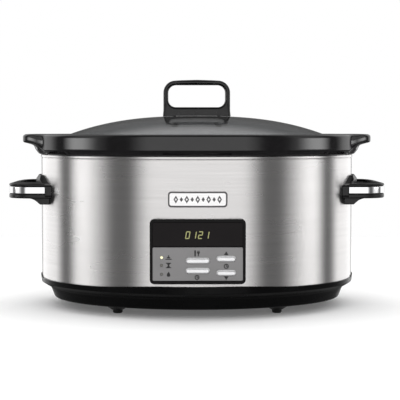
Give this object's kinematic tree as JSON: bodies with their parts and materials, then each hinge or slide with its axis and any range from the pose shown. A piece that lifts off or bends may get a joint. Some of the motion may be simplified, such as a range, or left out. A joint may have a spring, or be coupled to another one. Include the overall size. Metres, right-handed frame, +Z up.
{
  "type": "slow cooker",
  "caption": "Oval digital slow cooker: steel-clad heated base with side handles, control panel and feet, lift-out stoneware crock and domed glass lid.",
  "frame": {"origin": "centre of the footprint, on the surface that the feet stand on", "axes": "+Z up, -Y towards the control panel at the front, X along the oval from side handle to side handle"},
  "size_m": [0.43, 0.304, 0.2609],
  "materials": {
    "brushed_steel": "horizontally brushed stainless steel",
    "trim_chrome": "polished chrome",
    "black_plastic": "semi-gloss black moulded plastic",
    "black_glaze": "black glazed stoneware",
    "lid_glass": "clear tempered glass",
    "rubber": "matt black rubber",
    "coated_steel": "dark grey coated steel",
    "zinc_steel": "zinc-plated steel",
    "black_steel": "black-coated steel",
    "heater_foil": "foil-covered heating band",
    "fascia_grey": "satin metallic grey",
    "smoked_window": "smoked acrylic",
    "button_silver": "pale silver painted plastic",
    "badge_white": "pale polished plate with a dark outline",
    "circuit_board": "green solder mask",
    "switch_black": "black moulded plastic",
    "relay_blue": "blue moulded plastic",
    "ribbon_grey": "grey ribbon cable insulation",
    "led_lens": "clear lamp lens, unlit",
    "led_lit": "clear lamp lens, lit"
  },
  "bodies": {
    "root": {"outer_shell": "brushed_steel", "base_housing": "black_plastic", "bottom_plate": "coated_steel", "heating_well": "coated_steel", "heater_band": "heater_foil", "temperature_sensor": "zinc_steel", "thermal_fuse": "zinc_steel", "cord_gland": "black_plastic", "ribbon_cable": "ribbon_grey", "tie_bridge_left": "zinc_steel", "tie_bridge_right": "zinc_steel", "base_screw_front_left": "zinc_steel", "base_screw_front_right": "zinc_steel", "base_screw_rear_left": "zinc_steel", "base_screw_rear_right": "zinc_steel", "foot_front_left": "rubber", "foot_front_right": "rubber", "foot_rear_left": "rubber", "foot_rear_right": "rubber", "power_board": "circuit_board", "power_relay": "relay_blue", "control_bezel": "black_plastic", "display_window": "smoked_window", "control_fascia": "fascia_grey", "display_module": "switch_black", "control_board": "circuit_board", "mode_switch": "switch_black", "timer_switch": "switch_black", "time_up_switch": "switch_black", "time_down_switch": "switch_black", "high_led": "led_lit", "low_led": "led_lens", "warm_led": "led_lens", "badge_plate": "badge_white", "right_handle_body": "black_plastic", "right_handle_cap": "black_plastic", "right_handle_trim": "trim_chrome", "left_handle_body": "black_plastic", "left_handle_cap": "black_plastic", "left_handle_trim": "trim_chrome", "handle_screw_right_front": "zinc_steel", "handle_screw_right_rear": "zinc_steel", "handle_screw_left_front": "zinc_steel", "handle_screw_left_rear": "zinc_steel"},
    "crock": {"crock": "black_glaze"},
    "lid": {"lid_glass": "lid_glass", "lid_handle": "black_plastic", "lid_washer_left": "rubber", "lid_washer_right": "rubber", "lid_screw_left": "black_steel", "lid_screw_right": "black_steel"},
    "mode_key": {"mode_button": "button_silver"},
    "timer_key": {"timer_button": "button_silver"},
    "time_up_key": {"time_up_button": "button_silver"},
    "time_down_key": {"time_down_button": "button_silver"}
  },
  "joints": [
    {"name": "crock_lift", "type": "slide", "parent": "root", "child": "crock", "axis": [0, 0, 1], "range_m": [0, 0.14]},
    {"name": "lid_lift", "type": "slide", "parent": "crock", "child": "lid", "axis": [0, 0, 1], "range_m": [0, 0.07]},
    {"name": "mode_press", "type": "slide", "parent": "root", "child": "mode_key", "axis": [0, 1, 0], "range_m": [0, 0.0008], "stiffness_N_per_m": 450},
    {"name": "timer_press", "type": "slide", "parent": "root", "child": "timer_key", "axis": [0, 1, 0], "range_m": [0, 0.0008], "stiffness_N_per_m": 450},
    {"name": "time_up_press", "type": "slide", "parent": "root", "child": "time_up_key", "axis": [0, 1, 0], "range_m": [0, 0.0008], "stiffness_N_per_m": 450},
    {"name": "time_down_press", "type": "slide", "parent": "root", "child": "time_down_key", "axis": [0, 1, 0], "range_m": [0, 0.0008], "stiffness_N_per_m": 450}
  ]
}
